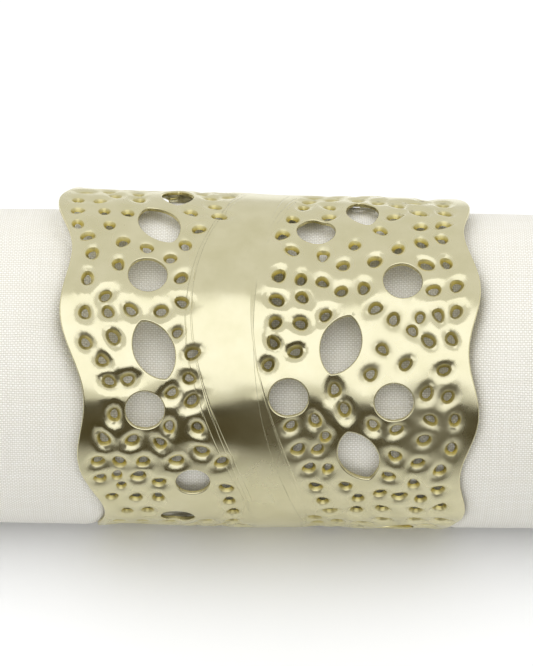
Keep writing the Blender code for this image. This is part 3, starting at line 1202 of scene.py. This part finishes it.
def layer_rows(fine):
    """(place along the roll, freedom) from left to right, for one flat layer of the strip."""
    outside = [*SWELL, *((d, 1.0) for d in FREE_STEPS)] if fine else SWELL[1:4:2]
    far = (64.0, 70.0) if fine else (60.0,)
    return [
        *((straight(-x), 1.0) for x in reversed(far)),
        *((beside(left_edge, -d), free) for d, free in reversed(outside)),
        (beside(left_edge, 4.0), 0.0), (straight(0.0), 0.0), (beside(right_edge, -4.0), 0.0),
        *((beside(right_edge, d), free) for d, free in outside),
        *((straight(x), 1.0) for x in far),
    ]


def edge_rows(side):
    """(place, freedom, thickness) from the raw end of a layer inwards past its hem."""
    rows = ((HALF, EDGE), (HALF - 0.25, HEMMED), (HALF - 5.0, HEMMED), (HALF - HEM, HEMMED),
            (HALF - HEM - 0.5, PLAIN))
    return [(straight(side * x), 1.0, thickness) for x, thickness in rows]


# %% All the rows, through three layers and the two folds between them
# place, freedom, depth of the cloth's middle, way its face looks (along, deeper), thickness
deep = 0.5 * CLOTH
rows = [(place, free, deep, (0, -1), thickness) for place, free, thickness in edge_rows(-1)]
for layer in range(3):
    deep = 0.5 * CLOTH + layer * LAYER_STEP
    way = -1 if layer == 1 else 1  # the middle layer runs back from right to left
    for place, free in layer_rows(layer == 0)[::way]:
        rows.append((place, free, deep, (0, -way), PLAIN))
    for t in np.radians(np.linspace(-90, 90, 7)) if layer < 2 else ():
        rows.append((straight(way * (FOLD_CENTRE + FOLD_RADIUS * math.cos(t))), 1.0,
                     deep + FOLD_RADIUS * (1 + math.sin(t)),
                     (math.cos(t), way * math.sin(t)), PLAIN))
rows += [(place, free, deep, (0, -1), thickness) for place, free, thickness in edge_rows(1)[::-1]]
print(len(rows), "rows across the strip,", len(turned), "stations along it")

# %% The napkin's mesh
place_of, freedom, middle, look, thickness = zip(*rows)
stations = turned[:, None] + np.zeros(len(rows))
along = np.stack([place(LOOSE_EDGE_ANGLE - turned) for place in place_of], axis=1)
freedom, middle = (np.array(column) + 0 * stations for column in (freedom, middle))
look, thickness = np.array(look, dtype=float), np.array(thickness)
from_end = np.minimum(length_so_far, length_so_far[-1] - length_so_far)[:, None]
end_hem = 1 - smooth((from_end - HEM) / HEM_STEP)
end_round = RAW_END + (1 - RAW_END) * smooth(from_end / END_STEP)
faces_of_cloth = []
for side, sign in ((0, 1), (1, -1)):
    reach = (thickness[:, side] + (HEMMED[side] - PLAIN[side]) * end_hem) * end_round
    faces_of_cloth.append(roll_point(
        stations, along + sign * look[:, 0] * reach, freedom, middle + sign * look[:, 1] * reach,
    ))
top, bottom = faces_of_cloth
ring_of_rows = np.concatenate([top, bottom[:, ::-1]], axis=1)
count = ring_of_rows.shape[1]

number = np.arange(ring_of_rows.shape[0] * count).reshape(-1, count)
next_row = np.roll(number, -1, axis=1)
quads = np.stack([number[:-1], next_row[:-1], next_row[1:], number[1:]], axis=-1).reshape(-1, 4)
caps = []
for station, turn_over in ((0, True), (-1, False)):
    for j in range(len(rows) - 1):
        quad = [number[station, j], number[station, j + 1],
                number[station, count - 2 - j], number[station, count - 1 - j]]
        caps.append(quad[::-1] if turn_over else quad)
napkin_faces = np.concatenate([quads, np.array(caps)])

napkin_mesh = bpy.data.meshes.new("rolled napkin")
napkin_mesh.from_pydata(ring_of_rows.reshape(-1, 3), [], napkin_faces.tolist())

# %% Cloth coordinates: u follows the cloth across its three layers, v along the strip
layer_of = np.round((middle[0] - 0.5 * CLOTH) / LAYER_STEP).astype(int)
from_layer_to_layer = 2 * FOLD_CENTRE + math.pi * FOLD_RADIUS
layer_starts = HALF + np.arange(3) * from_layer_to_layer
across = layer_starts[layer_of] + np.array((1, -1, 1))[layer_of] * along
u = np.concatenate([across, across[:, ::-1]], axis=1)
v = np.repeat(length_so_far[:, None], count, axis=1)
cloth_uv = np.stack([u, v], axis=-1).reshape(-1, 2) * MM
uv_layer = napkin_mesh.uv_layers.new(name="cloth")
corner = np.empty(len(napkin_mesh.loops), dtype=int)
napkin_mesh.loops.foreach_get("vertex_index", corner)
uv_layer.data.foreach_set("uv", cloth_uv[corner].ravel())
napkin_mesh.shade_smooth()
napkin_mesh.materials.append(linen)
tell(napkin_mesh, turn_outwards=True)
rolled_napkin = new_object("rolled_napkin", napkin_mesh)

# %% [markdown]
# ## Hem stitching
#
# The hem is turned in and sewn with a straight machine stitch, 8.5 mm from the edge. On the rolled
# napkin it shows in two places: along the loose edge low on the back, and round the left end. Each
# stitch is a short thread that dips into the cloth at both ends, so it is modelled as a small pod.

# %% Stitches along the hems
STITCH_PITCH = 2.6
STITCH_LENGTH = 2.1
STITCH_RADIUS = 0.17
STITCH_HEIGHT = 0.06  # of a stitch's middle above the cloth's face
HEM_SEAM = 8.5
ROUND_THE_END = 350  # degrees, from the loose edge back to just short of it

# (turned, place along) of each stitch's two ends: along the loose edge, then round the end
both_ends = np.array([-0.5, 0.5]) * STITCH_LENGTH
ring_span = (left_edge(LOOSE_EDGE_ANGLE) - 5, right_edge(LOOSE_EDGE_ANGLE) + 5)
stitch_ends = [
    (np.full(2, np.interp(HEM_SEAM, length_so_far, turned)), x + both_ends)
    for x in np.arange(-HALF + 3, HALF - 3, STITCH_PITCH) if not ring_span[0] < x < ring_span[1]
]
last_length = np.interp(ROUND_THE_END, turned, length_so_far)
stitch_ends += [
    (np.interp([length, length + STITCH_LENGTH], length_so_far, turned),
     np.full(2, -HALF + HEM_SEAM))
    for length in np.arange(3, last_length, STITCH_PITCH)
]

stitches = bmesh.new()
for turn, along in stitch_ends:
    start, end = map(Vector, roll_point(turn, along, np.ones(2), np.full(2, -STITCH_HEIGHT)))
    way = end - start
    turn_to = way.to_track_quat("Z", "Y").to_matrix().to_4x4()
    size = Matrix.Diagonal((STITCH_RADIUS * MM, STITCH_RADIUS * MM, way.length / 2, 1.0))
    place = Matrix.Translation((start + end) / 2) @ turn_to @ size
    bmesh.ops.create_uvsphere(stitches, u_segments=8, v_segments=6, radius=1.0, matrix=place)
stitch_mesh = bpy.data.meshes.new("hem stitches")
stitches.to_mesh(stitch_mesh)
print("stitches:", len(stitches.verts) // 42, "pods,", len(stitches.faces), "faces")
stitches.free()
stitch_mesh.shade_smooth()

thread, add = new_material("cotton sewing thread, twisted")
place = add("TexCoord").outputs["Object"]
twist = add("TexWave", vector=place, scale=900.0, distortion=2.0)
# Painted shade: the thread's colour darkens in the grooves of its twist, where the relief is low.
tone = add("ValToRGB", in0=twist.outputs["Fac"])
for stop, shade in zip(tone.color_ramp.elements, ("#DEDBD2", "#F7F6F1")):
    stop.color = linear(shade)
relief = add("Bump", height=twist.outputs["Fac"], strength=0.4, distance=0.05 * MM)
shader = add("BsdfPrincipled", base_color=tone, roughness=0.8, sheen_weight=0.2, normal=relief)
add("OutputMaterial", surface=shader)
stitch_mesh.materials.append(thread)
hem_stitches = new_object("hem_stitches", stitch_mesh)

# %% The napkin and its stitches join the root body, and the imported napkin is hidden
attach(rolled_napkin, "root")
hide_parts("napkin")
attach(hem_stitches, "root")
side = NAPKIN_SIDE * MM
